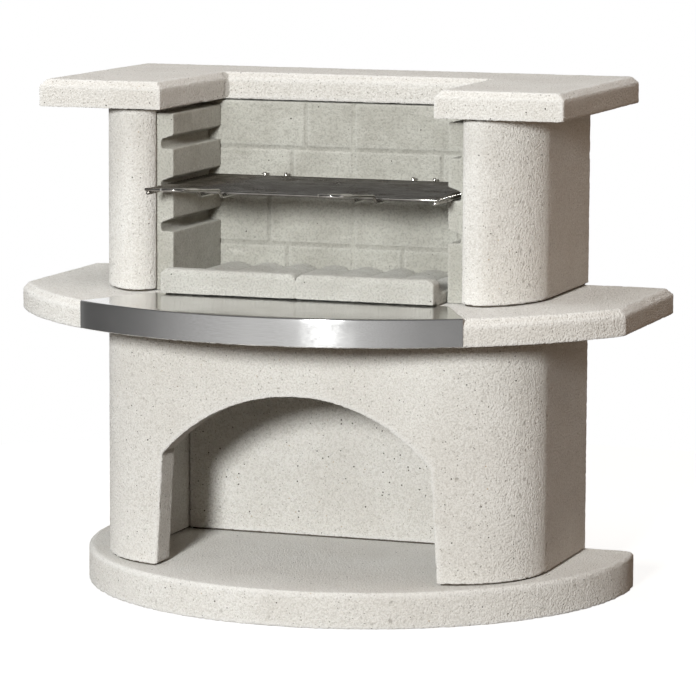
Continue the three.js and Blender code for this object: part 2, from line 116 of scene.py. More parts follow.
def new_material(name):
    """A new material, its nodes and its Principled shader."""
    material = bpy.data.materials.new(name)
    material.use_nodes = True
    tree = material.node_tree
    return material, tree, tree.nodes["Principled BSDF"]


def laid_over(tree, under, over, pattern, low=0.0, high=1.0, full_share=1.0):
    """over laid on under, from none where pattern is low to full_share where it is high.

    Each colour is an output or a hex value.
    """
    reach = {"From Min": low, "From Max": high, "To Max": full_share}
    factor = add_node(tree, "ShaderNodeMapRange", reach, {"Value": pattern}).outputs["Result"]
    settings = {"data_type": "RGBA"}
    links = {MIX_FACTOR: factor}
    for index, colour in ((MIX_A, under), (MIX_B, over)):
        if isinstance(colour, str):
            settings[index] = linear(colour)
        else:
            links[index] = colour
    return add_node(tree, "ShaderNodeMix", settings, links).outputs[MIX_RESULT]


print("mixed colours come from output", MIX_RESULT)

# %% Grains, hollows and relief
HOLLOW = "hollow"  # how far a point of a casting lies in a hollow, or below zero on an arris
HOLLOW_START, HOLLOW_FULL = 0.06, 0.5
ARRIS_START, ARRIS_FULL = -0.1, -0.6
SMALLEST_GRAIN_SHARE = 0.5  # of the largest one


def grains(tree, place, spacing, size, present_share):
    """1 on round grains up to size wide that lie about spacing apart, of which a share is there."""
    cells = add_node(tree, "ShaderNodeTexVoronoi", {"Scale": scale_of(spacing)}, {"Vector": place})
    chance = add_node(tree, "ShaderNodeSeparateColor", None, {"Color": cells.outputs["Color"]}).outputs
    present = add_node(
        tree, "ShaderNodeMath", {"operation": "LESS_THAN", 1: present_share}, {0: chance["Red"]}
    ).outputs["Value"]
    largest = size / spacing / 2
    radius = add_node(
        tree, "ShaderNodeMapRange",
        {"To Min": SMALLEST_GRAIN_SHARE * largest, "To Max": largest}, {"Value": chance["Green"]},
    ).outputs["Result"]
    inside = add_node(
        tree, "ShaderNodeMath", {"operation": "LESS_THAN"}, {0: cells.outputs["Distance"], 1: radius}
    ).outputs["Value"]
    return add_node(
        tree, "ShaderNodeMath", {"operation": "MULTIPLY"}, {0: present, 1: inside}
    ).outputs["Value"]


def shade_dirt_and_wear(tree, colour, shade_and_dirt, shade_and_dirt_share, rubbed, rubbed_share):
    """colour, with painted shade and dirt in the hollows of a casting and its arrises rubbed pale."""
    hollow = add_node(tree, "ShaderNodeAttribute", {"attribute_name": HOLLOW}).outputs["Fac"]
    # Painted shade: the hollows of a casting are darkened, as their shade together with the dirt that
    # stays there.
    colour = laid_over(tree, colour, shade_and_dirt, hollow, HOLLOW_START, HOLLOW_FULL, shade_and_dirt_share)
    return laid_over(tree, colour, rubbed, hollow, ARRIS_START, ARRIS_FULL, rubbed_share)


def relief(tree, shader, layers):
    """Bumps from layers of (pattern, height), added up in millimetres."""
    total = None
    for pattern, height in layers:
        links = {0: pattern}
        if total is not None:
            links[2] = total
        total = add_node(
            tree, "ShaderNodeMath", {"operation": "MULTIPLY_ADD", 1: height / MM, 2: 0.0}, links
        ).outputs["Value"]
    bump = add_node(tree, "ShaderNodeBump", {"Distance": MM}, {"Height": total})
    tree.links.new(bump.outputs["Normal"], shader.inputs["Normal"])


# Painted shade, together with dirt, starts in hollows this deep.
print("soil starts", HOLLOW_START, "mm deep and is full at", HOLLOW_FULL, "mm")

# %% [markdown]
# Sandblasted white concrete
#
# The outer castings are white cement with light quartz and a little dark sand, blasted after casting so
# that the skin of cement is gone. To the eye that gives a matt, slightly creamy white, an orange-peel
# relief from the coarser grains, and a scatter of dark and tan specks. Cast concrete has an IOR of about
# 1.5 and a roughness near 0.9.
#
# The knobs of quartz lie 4.6 mm apart with a peel of 3.4 mm over them. Real sand is about half a
# millimetre and its dark and tan grains are a millimetre or two, too fine to show in the picture. So the
# sand is drawn at 2 mm, the dark grains at up to 2.6 mm, and the tan ones and the pits of air bubbles at
# about 3 mm. The other choice was to model the grain, which would take millions of faces, so only its
# coarsest part is in the mesh.

# %% Sandblasted white concrete
CLOUD_SPACING = 160 * MM
PEEL_SPACING, SAND_SPACING, KNOB_SPACING = 3.4 * MM, 2 * MM, 4.6 * MM
PEEL_HEIGHT, SAND_HEIGHT, KNOB_HEIGHT = 3 * MM, 1.4 * MM, 1.5 * MM
TAN_SPACING, TAN_SIZE, TAN_SHARE = 15 * MM, 3.2 * MM, 0.2
DARK_SPACING, DARK_SIZE, DARK_SHARE, DARK_DEPTH = 6.5 * MM, 2.6 * MM, 0.5, 0.6 * MM
PIT_SPACING, PIT_SIZE, PIT_SHARE, PIT_DEPTH = 12 * MM, 3 * MM, 0.4, 0.9 * MM


def sandblasted_concrete():
    material, tree, shader = new_material("sandblasted_white_concrete")
    place = add_node(tree, "ShaderNodeTexCoord").outputs["Object"]
    cloud, peel, sand = [
        add_node(
            tree, "ShaderNodeTexNoise",
            {"Scale": scale_of(spacing), "Detail": detail, "Roughness": OCTAVE_SHARE}, {"Vector": place},
        ).outputs["Fac"]
        for spacing, detail in ((CLOUD_SPACING, 3.0), (PEEL_SPACING, 1.5), (SAND_SPACING, 1.0))
    ]
    knobs = add_node(tree, "ShaderNodeTexVoronoi", {"Scale": scale_of(KNOB_SPACING)}, {"Vector": place})
    tan_grains = grains(tree, place, TAN_SPACING, TAN_SIZE, TAN_SHARE)
    dark_grains = grains(tree, place, DARK_SPACING, DARK_SIZE, DARK_SHARE)
    pits = grains(tree, place, PIT_SPACING, PIT_SIZE, PIT_SHARE)
    colour = laid_over(tree, "F1EFEA", "E9E6E0", cloud, 0.35, 0.7)
    # Painted shade: A8A294 darkens the valleys of the peel, as their shade together with the darker cement
    # that lies there.
    colour = laid_over(tree, colour, "A8A294", peel, 0.56, 0.32, full_share=0.3)
    colour = laid_over(tree, colour, "A9A295", sand, 0.48, 0.72, full_share=0.3)
    colour = laid_over(tree, colour, "C9BAA4", tan_grains)
    colour = laid_over(tree, colour, "857D71", dark_grains, full_share=0.6)
    # Painted shade: the pits are coloured near black, as the shade inside them.
    colour = laid_over(tree, colour, "504A41", pits)
    # Painted shade: 7F776B darkens the hollows of each casting, as their shade together with dirt, and
    # F4F3F0 rubs the arrises pale.
    colour = shade_dirt_and_wear(tree, colour, "7F776B", 0.5, "F4F3F0", 0.3)
    tree.links.new(colour, shader.inputs["Base Color"])
    shader.inputs["Roughness"].default_value = 0.92
    shader.inputs["IOR"].default_value = 1.5
    shader.inputs["Specular IOR Level"].default_value = 0.25
    shader.inputs["Diffuse Roughness"].default_value = 0.9
    relief(tree, shader, [
        (peel, PEEL_HEIGHT),
        (sand, SAND_HEIGHT),
        (knobs.outputs["Distance"], -KNOB_HEIGHT),
        (pits, -PIT_DEPTH),
        (dark_grains, -DARK_DEPTH),
    ])
    return material


white_concrete = sandblasted_concrete()
print("made", white_concrete.name, "with", len(white_concrete.node_tree.nodes), "nodes")

# %% [markdown]
# Cast fire concrete
#
# The plates of the fire box and the bed under the charcoal are a denser, greyer concrete with alumina
# cement, which bears the heat. They come straight from a smooth mould, so they show faint streaks along
# the plate, small bubbles, and a cold greenish grey. Where hands and tools touched them they are rubbed
# pale. The streaks are the cloud pattern, drawn out sideways. The grit is about 1 mm in life and is drawn
# at 3.6 mm, so that it shows.

# %% Fire concrete
STREAK_STRETCH = (0.3, 1.0, 1.6)  # times the scale, so the first one draws the pattern out
MOULD_CLOUD_SPACING, STREAK_SPACING = 90 * MM, 26 * MM
GRIT_SPACING, GRIT_HEIGHT = 3.6 * MM, 4.2 * MM
UNEVEN_SPACING, UNEVEN_HEIGHT = 12 * MM, 1.6 * MM
BUBBLE_SPACING, BUBBLE_SIZE, BUBBLE_SHARE, BUBBLE_DEPTH = 14 * MM, 2.8 * MM, 0.3, 0.7 * MM


def fire_concrete(name, pale, deep, rubbed):
    material, tree, shader = new_material(name)
    place = add_node(tree, "ShaderNodeTexCoord").outputs["Object"]
    stretched = add_node(
        tree, "ShaderNodeMapping", {"Scale": STREAK_STRETCH}, {"Vector": place}
    ).outputs["Vector"]
    cloud, streaks, grit, uneven = [
        add_node(
            tree, "ShaderNodeTexNoise",
            {"Scale": scale_of(spacing), "Detail": detail, "Roughness": OCTAVE_SHARE}, {"Vector": where},
        ).outputs["Fac"]
        for where, spacing, detail in (
            (place, MOULD_CLOUD_SPACING, 4.0), (stretched, STREAK_SPACING, 3.0),
            (place, GRIT_SPACING, 3.0), (place, UNEVEN_SPACING, 1.0),
        )
    ]
    bubbles = grains(tree, place, BUBBLE_SPACING, BUBBLE_SIZE, BUBBLE_SHARE)
    colour = laid_over(tree, pale, deep, cloud, 0.3, 0.7)
    colour = laid_over(tree, colour, rubbed, streaks, 0.55, 0.8, full_share=0.6)
    # Painted shade: 827F75 darkens the valleys of the grit, as their shade together with the darker cement
    # that lies there.
    colour = laid_over(tree, colour, "827F75", grit, 0.55, 0.3, full_share=0.4)
    # Painted shade: the bubbles are coloured near black, as the shade inside them.
    colour = laid_over(tree, colour, "3E3A32", bubbles)
    # Painted shade: 6E695E darkens the hollows a little, as their shade together with dirt, and EDECE6
    # rubs the arrises pale.
    colour = shade_dirt_and_wear(tree, colour, "6E695E", 0.14, "EDECE6", 0.12)
    tree.links.new(colour, shader.inputs["Base Color"])
    shader.inputs["Roughness"].default_value = 0.88
    shader.inputs["IOR"].default_value = 1.5
    shader.inputs["Specular IOR Level"].default_value = 0.3
    shader.inputs["Diffuse Roughness"].default_value = 0.8
    relief(tree, shader, [(grit, GRIT_HEIGHT), (uneven, UNEVEN_HEIGHT), (bubbles, -BUBBLE_DEPTH)])
    return material


lining_concrete = fire_concrete("cast_fire_concrete", "D3D2C9", "BFBDB3", "E2E0D8")
bed_concrete = fire_concrete("cast_fire_bed_concrete", "D8D7D0", "C8C6BE", "E8E7E2")
print("made", lining_concrete.name, "and", bed_concrete.name)

# %% [markdown]
# Thin-bed mortar
#
# The castings are stuck with a thin bed of cement mortar, raked back from the face. It lies in its own
# shade, so all that the eye gets is a dark, sandy line. Its sand is drawn at 2 mm, which is coarser than
# the real one.

# %% Thin-bed mortar
MORTAR_CLOUD_SPACING = 12 * MM
MORTAR_SAND_SPACING, MORTAR_SAND_HEIGHT = 2 * MM, 0.5 * MM


def thin_bed_mortar():
    material, tree, shader = new_material("thin_bed_mortar")
    place = add_node(tree, "ShaderNodeTexCoord").outputs["Object"]
    cloud, sand = [
        add_node(
            tree, "ShaderNodeTexNoise",
            {"Scale": scale_of(spacing), "Detail": detail, "Roughness": OCTAVE_SHARE}, {"Vector": place},
        ).outputs["Fac"]
        for spacing, detail in ((MORTAR_CLOUD_SPACING, 4.0), (MORTAR_SAND_SPACING, 2.0))
    ]
    colour = laid_over(tree, "6F685C", "544D42", cloud, 0.3, 0.7)
    tree.links.new(colour, shader.inputs["Base Color"])
    shader.inputs["Roughness"].default_value = 0.97
    shader.inputs["IOR"].default_value = 1.5
    relief(tree, shader, [(sand, MORTAR_SAND_HEIGHT)])
    return material


mortar = thin_bed_mortar()
print("made", mortar.name)

# %% [markdown]
# Stainless sheet
#
# The cover is a folded sheet of stainless steel with a fine satin brush along its length. Brushing
# spreads a reflection across the lines, so lamps become soft upright bands. That is the shader's
# anisotropy, and it needs to know which way the lines run, so the sheet gets a map along its fold. The
# lines are some hundredths of a millimetre apart, too fine to show, so they are drawn 1.2 mm apart and
# only touch the colour and the roughness. Smears from wiping lie a hand's breadth apart, and a very slow
# swell stands for the slight waves of a hand-fitted sheet.

# %% Stainless sheet
SHEET_MAP = "along_the_fold"
BRUSH_STRETCH = (0.01, 1.0, 1.0)  # times the scale, so a line runs a hundred times its width
BRUSH_SPACING, SMEAR_SPACING = 1.2 * MM, 70 * MM
WAVE_SPACING, WAVE_HEIGHT = 120 * MM, 0.25 * MM


def satin_stainless():
    material, tree, shader = new_material("satin_stainless_steel")
    place = add_node(tree, "ShaderNodeTexCoord").outputs["Object"]
    along = add_node(
        tree, "ShaderNodeMapping", {"Scale": BRUSH_STRETCH}, {"Vector": place}
    ).outputs["Vector"]
    lines, smears, waves = [
        add_node(
            tree, "ShaderNodeTexNoise",
            {"Scale": scale_of(spacing), "Detail": detail, "Roughness": OCTAVE_SHARE}, {"Vector": where},
        ).outputs["Fac"]
        for where, spacing, detail in (
            (along, BRUSH_SPACING, 2.0), (place, SMEAR_SPACING, 3.0), (place, WAVE_SPACING, 0.0),
        )
    ]
    colour = laid_over(tree, "E6E5E4", "DCDBD9", lines, 0.3, 0.7)
    tree.links.new(colour, shader.inputs["Base Color"])
    shader.inputs["Metallic"].default_value = 1.0
    wiped = add_node(
        tree, "ShaderNodeMapRange",
        {"From Min": 0.35, "From Max": 0.7, "To Min": 0.09, "To Max": 0.15}, {"Value": smears},
    ).outputs["Result"]
    brushed = add_node(
        tree, "ShaderNodeMapRange",
        {"From Min": 0.3, "From Max": 0.7, "To Min": 0.0, "To Max": 0.05}, {"Value": lines},
    ).outputs["Result"]
    rough = add_node(tree, "ShaderNodeMath", {"operation": "ADD"}, {0: wiped, 1: brushed})
    tree.links.new(rough.outputs["Value"], shader.inputs["Roughness"])
    shader.inputs["Anisotropic"].default_value = 0.75
    across = add_node(tree, "ShaderNodeTangent", {"direction_type": "UV_MAP", "uv_map": SHEET_MAP})
    tree.links.new(across.outputs["Tangent"], shader.inputs["Tangent"])
    relief(tree, shader, [(waves, WAVE_HEIGHT)])
    return material


stainless = satin_stainless()
print("made", stainless.name)

# %% [markdown]
# Chromed wire
#
# The grid and its handles are drawn steel wire, welded and then chrome plated. Chrome reflects almost
# like a mirror. Both of its colours here are painted darker than bare chrome, as painted shade for the
# shaded fire box that the wires mirror. Heat leaves a thin brown film, which takes some of the shine, so
# one pattern drives both the colour and the roughness. Its patches lie 40 mm apart, and the plating is
# uneven by a few hundredths of a millimetre every 3 mm.

# %% Chromed wire
FILM_SPACING = 40 * MM
FILM_START, FILM_FULL = 0.4, 0.7
PLATING_SPACING, PLATING_HEIGHT = 3 * MM, 0.03 * MM


def chromed_wire():
    material, tree, shader = new_material("chromed_steel_wire")
    place = add_node(tree, "ShaderNodeTexCoord").outputs["Object"]
    film, plating = [
        add_node(
            tree, "ShaderNodeTexNoise",
            {"Scale": scale_of(spacing), "Detail": detail, "Roughness": OCTAVE_SHARE}, {"Vector": place},
        ).outputs["Fac"]
        for spacing, detail in ((FILM_SPACING, 4.0), (PLATING_SPACING, 2.0))
    ]
    # Painted shade: both colours are darker than bare chrome, standing in for the shaded fire box that the
    # wires mirror; the second is also the brown heat film.
    colour = laid_over(tree, "A9A6A1", "7E7870", film, FILM_START, FILM_FULL)
    tree.links.new(colour, shader.inputs["Base Color"])
    shader.inputs["Metallic"].default_value = 1.0
    rough = add_node(
        tree, "ShaderNodeMapRange",
        {"From Min": FILM_START, "From Max": FILM_FULL, "To Min": 0.14, "To Max": 0.3}, {"Value": film},
    )
    tree.links.new(rough.outputs["Result"], shader.inputs["Roughness"])
    relief(tree, shader, [(plating, PLATING_HEIGHT)])
    return material


chrome = chromed_wire()
print("made", chrome.name)

# %% [markdown]
# An even skin round a casting
#
# A casting isn't as sharp as its drawing. The arrises are blunt, small bits have broken off them, and
# broad faces swell and sink by a fraction of a millimetre. Modelling all that by hand would take days.
# Here each solid is wrapped in an even skin of small quads with a voxel remesh, which gives noise and
# smoothing the same room everywhere.

# %% Skin of quads
POINT_JOIN = 0.001 * MM  # corner points closer than this are one


def object_of(name, data):
    """A new object in the scene that shows a mesh, a lamp or a camera."""
    made = bpy.data.objects.new(name, data)
    bpy.context.scene.collection.objects.link(made)
    return made


def closed_copy(node):
    """The node's mesh with its doubled corner points joined."""
    copy = bmesh.new()
    copy.from_mesh(nodes[node].data)
    bmesh.ops.remove_doubles(copy, verts=copy.verts, dist=POINT_JOIN)
    mesh = bpy.data.meshes.new(node)
    copy.to_mesh(mesh)
    copy.free()
    return mesh


def voxel_skin(name, solid, voxel):
    """A new object whose mesh is an even skin round the solid."""
    raw = object_of(name, solid)
    remesh = raw.modifiers.new("skin", "REMESH")
    remesh.mode = "VOXEL"
    remesh.voxel_size = voxel
    graph = bpy.context.evaluated_depsgraph_get()
    skin = bpy.data.meshes.new_from_object(raw.evaluated_get(graph))
    raw.modifiers.clear()
    raw.data = skin
    return raw


print("the cap's solid has", len(nodes["cap"].data.polygons), "faces before it gets its skin")

# %% [markdown]
# Wear of a casting
#
# The skin is drawn back to the solid's faces and lightly smoothed, which blunts the arrises, and noise
# then takes a little away. It only ever takes away, so no casting grows into its neighbour.
#
# An arris gives itself away: smoothing pulls a point there inwards, and a point of a flat face not at
# all. That pull is kept as a measure of wear and decides where chips may be. Last, each point is set
# against the mean of the points around it. One that lies behind that mean is in a hollow and one in
# front of it on an arris. The mark goes with the mesh, and the concrete's colour reads it: it paints
# shade, together with dirt, into the hollows and rubs the arrises pale.

# %% What a mesh tells about itself
def places_of(mesh):
    places = np.empty(len(mesh.vertices) * 3)
    mesh.vertices.foreach_get("co", places)
    return places.reshape(-1, 3)


def normals_of(mesh):
    normals = np.empty(len(mesh.vertices) * 3)
    mesh.vertex_normals.foreach_get("vector", normals)
    return normals.reshape(-1, 3)


def edges_of(mesh):
    edges = np.empty(len(mesh.edges) * 2, dtype=int)
    mesh.edges.foreach_get("vertices", edges)
    return edges.reshape(-1, 2)


def neighbour_means(values, edges, counts):
    """Each point's mean over the points that it shares an edge with."""
    sums = np.zeros_like(values)
    np.add.at(sums, edges[:, 0], values[edges[:, 1]])
    np.add.at(sums, edges[:, 1], values[edges[:, 0]])
    return sums / counts.reshape(-1, *[1] * (values.ndim - 1))


print("the cap's solid has", len(edges_of(nodes["cap"].data)), "edges")

# %% Noise and hollows
SEED_STEPS = (17.3, 5.1, 9.7)  # how far a seed moves the noise along each axis
HOLLOW_ROUNDS = 4


def noise_at(places, size, seed):
    """Noise from about -1 to 1 at each place, with features size metres apart."""
    shift = Vector([seed * step for step in SEED_STEPS])
    return np.array([noise.noise(Vector(place) / size + shift) for place in places])


def mark_hollows(mesh, places, edges, counts):
    """Keeps how many millimetres the points around each point stand in front of it, from -1 to 1."""
    around = places
    for _ in range(HOLLOW_ROUNDS):
        around = neighbour_means(around, edges, counts)
    hollow = np.einsum("ij,ij->i", around - places, normals_of(mesh)) / MM
    mark = mesh.attributes.new(HOLLOW, "FLOAT", "POINT")
    mark.data.foreach_set("value", np.clip(hollow, -1, 1).astype(np.float32))


origin = np.zeros((1, 3))
print("noise at the origin:", [round(float(noise_at(origin, MM, seed)[0]), 2) for seed in range(3)])

# %% How worn each point is
WEAR_ROUNDS = 2
FULL_WEAR_SHARE = 0.2  # of a quad, the pull at which an arris counts as fully worn


def wear_of(pull, voxel, edges, counts):
    """0 on flat faces to 1 on sharp arrises."""
    wear = np.linalg.norm(pull, axis=1) / voxel
    for _ in range(WEAR_ROUNDS):
        wear = (wear + neighbour_means(wear, edges, counts)) / 2
    return np.clip(wear / FULL_WEAR_SHARE, 0, 1)


print("an arris is fully worn where smoothing would pull it by", FULL_WEAR_SHARE, "of a quad")

# %% A casting
BLUNTING_SHARE = 0.2  # of the pull that smoothing would give
SWELL_SPACING, CHIP_SPACING, NIBBLE_SPACING = 45 * MM, 10 * MM, 5 * MM
UNCHIPPED_SHARE = 0.2  # of the noise, below which nothing breaks off
ARRIS_NIBBLE = 0.3 * MM


def set_places(mesh, places):
    mesh.vertices.foreach_set("co", places.ravel())
    mesh.update()


def casting(name, node, voxel, finish, swell=0.5 * MM, chip=3 * MM, grain=0.2 * MM, seed=0):
    """A weathered casting that replaces a node."""
    solid = closed_copy(node)
    surface = BVHTree.FromPolygons(
        [vertex.co.copy() for vertex in solid.vertices],
        [tuple(face.vertices) for face in solid.polygons],
    )
    piece = voxel_skin(name, solid, voxel)
    mesh = piece.data
    places = np.array([surface.find_nearest(Vector(place))[0] for place in places_of(mesh)])
    edges = edges_of(mesh)
    counts = np.bincount(edges.ravel(), minlength=len(places)).astype(float)
    pull = neighbour_means(places, edges, counts) - places
    wear = wear_of(pull, voxel, edges, counts)
    places = places + BLUNTING_SHARE * pull
    set_places(mesh, places)
    normals = normals_of(mesh)
    slow = 0.5 + 0.5 * noise_at(places, SWELL_SPACING, seed)
    broken = np.clip(noise_at(places, CHIP_SPACING, seed + 1) - UNCHIPPED_SHARE, 0, 1)
    nibbled = np.clip(0.5 + noise_at(places, NIBBLE_SPACING, seed + 2), 0, 1)
    depth = swell * np.clip(slow, 0, 1) + nibbled * (grain + wear * ARRIS_NIBBLE) + wear * chip * broken
    places = places - normals * depth[:, None]
    set_places(mesh, places)
    mark_hollows(mesh, places, edges, counts)
    mesh.shade_smooth()
    mesh.materials.clear()
    mesh.materials.append(finish)
    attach(piece, "masonry")
    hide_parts(node)
    print(name, len(mesh.polygons), "faces")


# %% [markdown]
# The outer castings
#
# The large slabs and the body show broad faces, so a quad of 4 mm is small enough for their blunt
# arrises and keeps each piece under 100,000 quads. Blasting leaves their grain a little deeper than that
# of the fire box.

# %% Base, body, worktop, columns and cap
OUTER_VOXEL = 4 * MM
OUTER_GRAIN = 0.25 * MM
outer_castings = [
    "base_slab", "lower_body", "lower_back_wall", "worktop",
    "left_column", "right_column", "upper_back_wall", "cap",
]
for number, node in enumerate(outer_castings):
    casting(
        f"weathered_{node}", node, OUTER_VOXEL, white_concrete,
        grain=OUTER_GRAIN, seed=3 * number,
    )

# %% [markdown]
# The fire box
#
# The plates are smaller and have the finest shapes: the grooves have sharp lips, and the moulded brick
# joints are only 9 mm wide. They get quads of 3 mm, swell a little more than the outer castings, and the
# linings lose smaller chips.

# %% Linings and fire bed
FIRE_VOXEL = 3 * MM
FIRE_SWELL = 0.6 * MM
LINING_CHIP, BED_CHIP = 2 * MM, 3 * MM
for number, node in enumerate(["left_lining", "right_lining", "back_lining_left", "back_lining_right"]):
    casting(
        f"weathered_{node}", node, FIRE_VOXEL, lining_concrete,
        swell=FIRE_SWELL, chip=LINING_CHIP, seed=40 + 3 * number,
    )
for number, node in enumerate(["fire_bed_left", "fire_bed_right"]):
    casting(
        f"weathered_{node}", node, FIRE_VOXEL, bed_concrete,
        swell=FIRE_SWELL, chip=BED_CHIP, seed=60 + 3 * number,
    )

# %% [markdown]
# Pointing of the fire box
#
# The two back plates and the two halves of the bed meet in a butt joint. The mason fills such a joint
# with fire clay and strikes it a little hollow, so it reads as a pale groove and not as a black slit.
# Each filling is a strip swept along the joint's face, with a hollow across it and a little noise. A
# path runs upwards, because the way out of the face is to its left.

# %% Stations along a joint
JOINT_STEP = 4 * MM


def stations_of(path):
    """Places along a path of (y, z) corners about a step apart, each with the way out of the face."""
    stations = []
    for start, end in zip(path, path[1:]):
        run = end - start
        out = Vector((-run.y, run.x)).normalized()
        steps = max(2, round(run.length / JOINT_STEP))
        stations += [(start + run * index / steps, out) for index in range(steps + 1)]
    return stations


back_low, back_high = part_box("back_lining_left")
bed_low, bed_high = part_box("fire_bed_left")
print("the joint in the back is", round((back_high.z - back_low.z) / MM), "mm high")

# %% Fire clay in the butt joints
JOINT_HALF = 3 * MM
JOINT_DEPTH = 6 * MM
JOINT_HOLLOW = 0.4 * MM
JOINT_ROUGHNESS = 0.2 * MM
ACROSS_SHARES = (-1.0, -0.5, 0.0, 0.5, 1.0)
BRICK_RECESS, KERB_RECESS = 2.7 * MM, 0.2 * MM
KERB_HEAD_STOP = 12 * MM  # below the kerb's top, whose edges are rounded and whose ends are chamfered


def pointing(name, path, recess, finish, seed):
    """A struck filling in the joint at x = 0, along the faces that path follows."""
    made = bmesh.new()
    rings = []
    for place, out in stations_of(path):
        ring = []
        for share in ACROSS_SHARES:
            rough = noise.noise(Vector((share, place.x, place.y)) / JOINT_STEP + Vector((seed, 0, 0)))
            down = recess + JOINT_HOLLOW * (1 - share ** 2) + JOINT_ROUGHNESS * rough
            face = place - out * down
            ring.append(made.verts.new((share * JOINT_HALF, face.x, face.y)))
        for share in (1.0, -1.0):
            back = place - out * JOINT_DEPTH
            ring.append(made.verts.new((share * JOINT_HALF, back.x, back.y)))
        rings.append(ring)
    for first, second in zip(rings, rings[1:]):
        for index, corner in enumerate(first):
            after = (index + 1) % len(first)
            made.faces.new((corner, first[after], second[after], second[index]))
    made.faces.new(rings[0][::-1])
    made.faces.new(rings[-1])
    bmesh.ops.recalc_face_normals(made, faces=made.faces)
    mesh = bpy.data.meshes.new(name)
    made.to_mesh(mesh)
    made.free()
    mesh.materials.append(finish)
    piece = object_of(name, mesh)
    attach(piece, "masonry")
    print(name, len(mesh.polygons), "faces")


pointing("fire_clay_back_joint", [
    Vector((back_low.y, back_low.z)),
    Vector((back_low.y, back_high.z)),
], BRICK_RECESS, lining_concrete, seed=3)
pointing("fire_clay_kerb_joint", [
    Vector((bed_low.y, bed_low.z + JOINT_DEPTH)),
    Vector((bed_low.y, bed_high.z - KERB_HEAD_STOP)),
], KERB_RECESS, bed_concrete, seed=5)

# %% [markdown]
# The mortar beds
#
# A mortar bed is a few millimetres of cement between two castings. The model's solids are already right:
# thin beds set back from the faces. Only a dark line of them shows, so they just get their finish.

# %% Mortar beds
mortar_nodes = [name for name in nodes if name.startswith("mortar_")]
for name in mortar_nodes:
    bed = nodes[name].data
    bed.materials.clear()
    bed.materials.append(mortar)
print(len(mortar_nodes), "mortar beds finished")

# %% [markdown]
# The steel cover
#
# The real cover is one sheet of 1.5 mm. It lies on the worktop, tucks under the kerb of the fire bed and
# folds down over the bowed front. A fold has a radius, and that radius catches a bright line, so the
# sheet is drawn as a grid of points: rows run from the rear edge to the front, round the fold and down
# the apron, and every row follows the bow. The Solidify modifier then gives it its thickness inwards.

# %% Columns of the sheet
TOUCH = 0.3 * MM  # between two pieces that touch
SHEET = 1.5 * MM
FOLD_RADIUS = 2.5 * MM
WORKTOP_BOW = 352.8 * MM
COVER_REAR_WIDTH = 556 * MM
TOP_ROWS, FOLD_ROWS, APRON_ROWS = 14, 6, 6

cover_low, cover_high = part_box("steel_worktop_cover")
worktop_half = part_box("worktop")[1].x
cover_radius = (worktop_half ** 2 + WORKTOP_BOW ** 2) / (2 * WORKTOP_BOW) + SHEET + TOUCH
bow_centre = cover_low.y + cover_radius
print("bow radius", round(cover_radius / MM, 1), "mm")


def cover_column(share):
    """The outer face's points from the rear edge to the apron's foot, at a share of the width."""
    half = math.asin(cover_high.x / cover_radius)
    turn = (2 * share - 1) * half
    outwards = Vector((math.sin(turn), -math.cos(turn), 0))
    centre = Vector((0, bow_centre, 0))
    rear = Vector(((share - 0.5) * COVER_REAR_WIDTH, cover_high.y, cover_high.z))
    edge = centre + outwards * (cover_radius - FOLD_RADIUS)
    edge.z = cover_high.z
    column = [rear.lerp(edge, row / TOP_ROWS) for row in range(TOP_ROWS)]
    for row in range(FOLD_ROWS + 1):
        angle = math.pi / 2 * row / FOLD_ROWS
        bend = outwards * math.sin(angle) + Vector((0, 0, math.cos(angle) - 1))
        column.append(edge + bend * FOLD_RADIUS)
    fold_foot = column[-1]
    drop = fold_foot.z - cover_low.z
    for row in range(1, APRON_ROWS + 1):
        column.append(fold_foot - Vector((0, 0, drop * row / APRON_ROWS)))
    return column


# %% Folded sheet
COVER_COLUMNS = 96
CREASE_ANGLE = 35  # degrees, from which an edge stays sharp


def cover_face():
    """The sheet's outer face, with a map whose first direction runs across the brushing."""
    grid = [cover_column(index / COVER_COLUMNS) for index in range(COVER_COLUMNS + 1)]
    rows = len(grid[0])
    points = [point for column in grid for point in column]
    faces = []
    for left in range(COVER_COLUMNS):
        for row in range(rows - 1):
            corner = left * rows + row
            faces.append((corner, corner + 1, corner + rows + 1, corner + rows))
    mesh = bpy.data.meshes.new("folded_steel_cover")
    mesh.from_pydata(points, [], faces)
    unrolled = mesh.uv_layers.new(name=SHEET_MAP)
    for loop, corner in zip(unrolled.data, mesh.loops):
        column, row = divmod(corner.vertex_index, rows)
        loop.uv = (row / (rows - 1), column / COVER_COLUMNS)
    return mesh


def folded_cover():
    piece = object_of("folded_steel_cover", cover_face())
    thickness = piece.modifiers.new("sheet", "SOLIDIFY")
    thickness.thickness = SHEET
    thickness.offset = -1
    thickness.use_even_offset = True
    graph = bpy.context.evaluated_depsgraph_get()
    thick = bpy.data.meshes.new_from_object(piece.evaluated_get(graph))
    piece.modifiers.clear()
    piece.data = thick
    thick.shade_smooth()
    thick.set_sharp_from_angle(angle=math.radians(CREASE_ANGLE))
    thick.materials.append(stainless)
    return piece


cover = folded_cover()
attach(cover, "masonry")
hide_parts("steel_worktop_cover")
print("cover", len(cover.data.polygons), "faces")

# %% [markdown]
# Wires
#
# A wire is a circle pushed along a path. The path of the grid's rods is straight and that of a handle
# has bends, so one function takes any row of points and sets a ring of points square to the path at each.
# The shears that cut a wire leave its end blunt, which the first and last rings draw.

# %% How a wire is made
WIRE_SIDES = 16
BLUNT_END_SHARES = [(0.0, 0.6), (0.15, 0.88), (0.4, 1.0)]  # way in and ring size, of the radius


def directions_of(path):
    ahead = path[1:] + path[-1:]
    behind = path[:1] + path[:-1]
    return [(after - before).normalized() for before, after in zip(behind, ahead)]


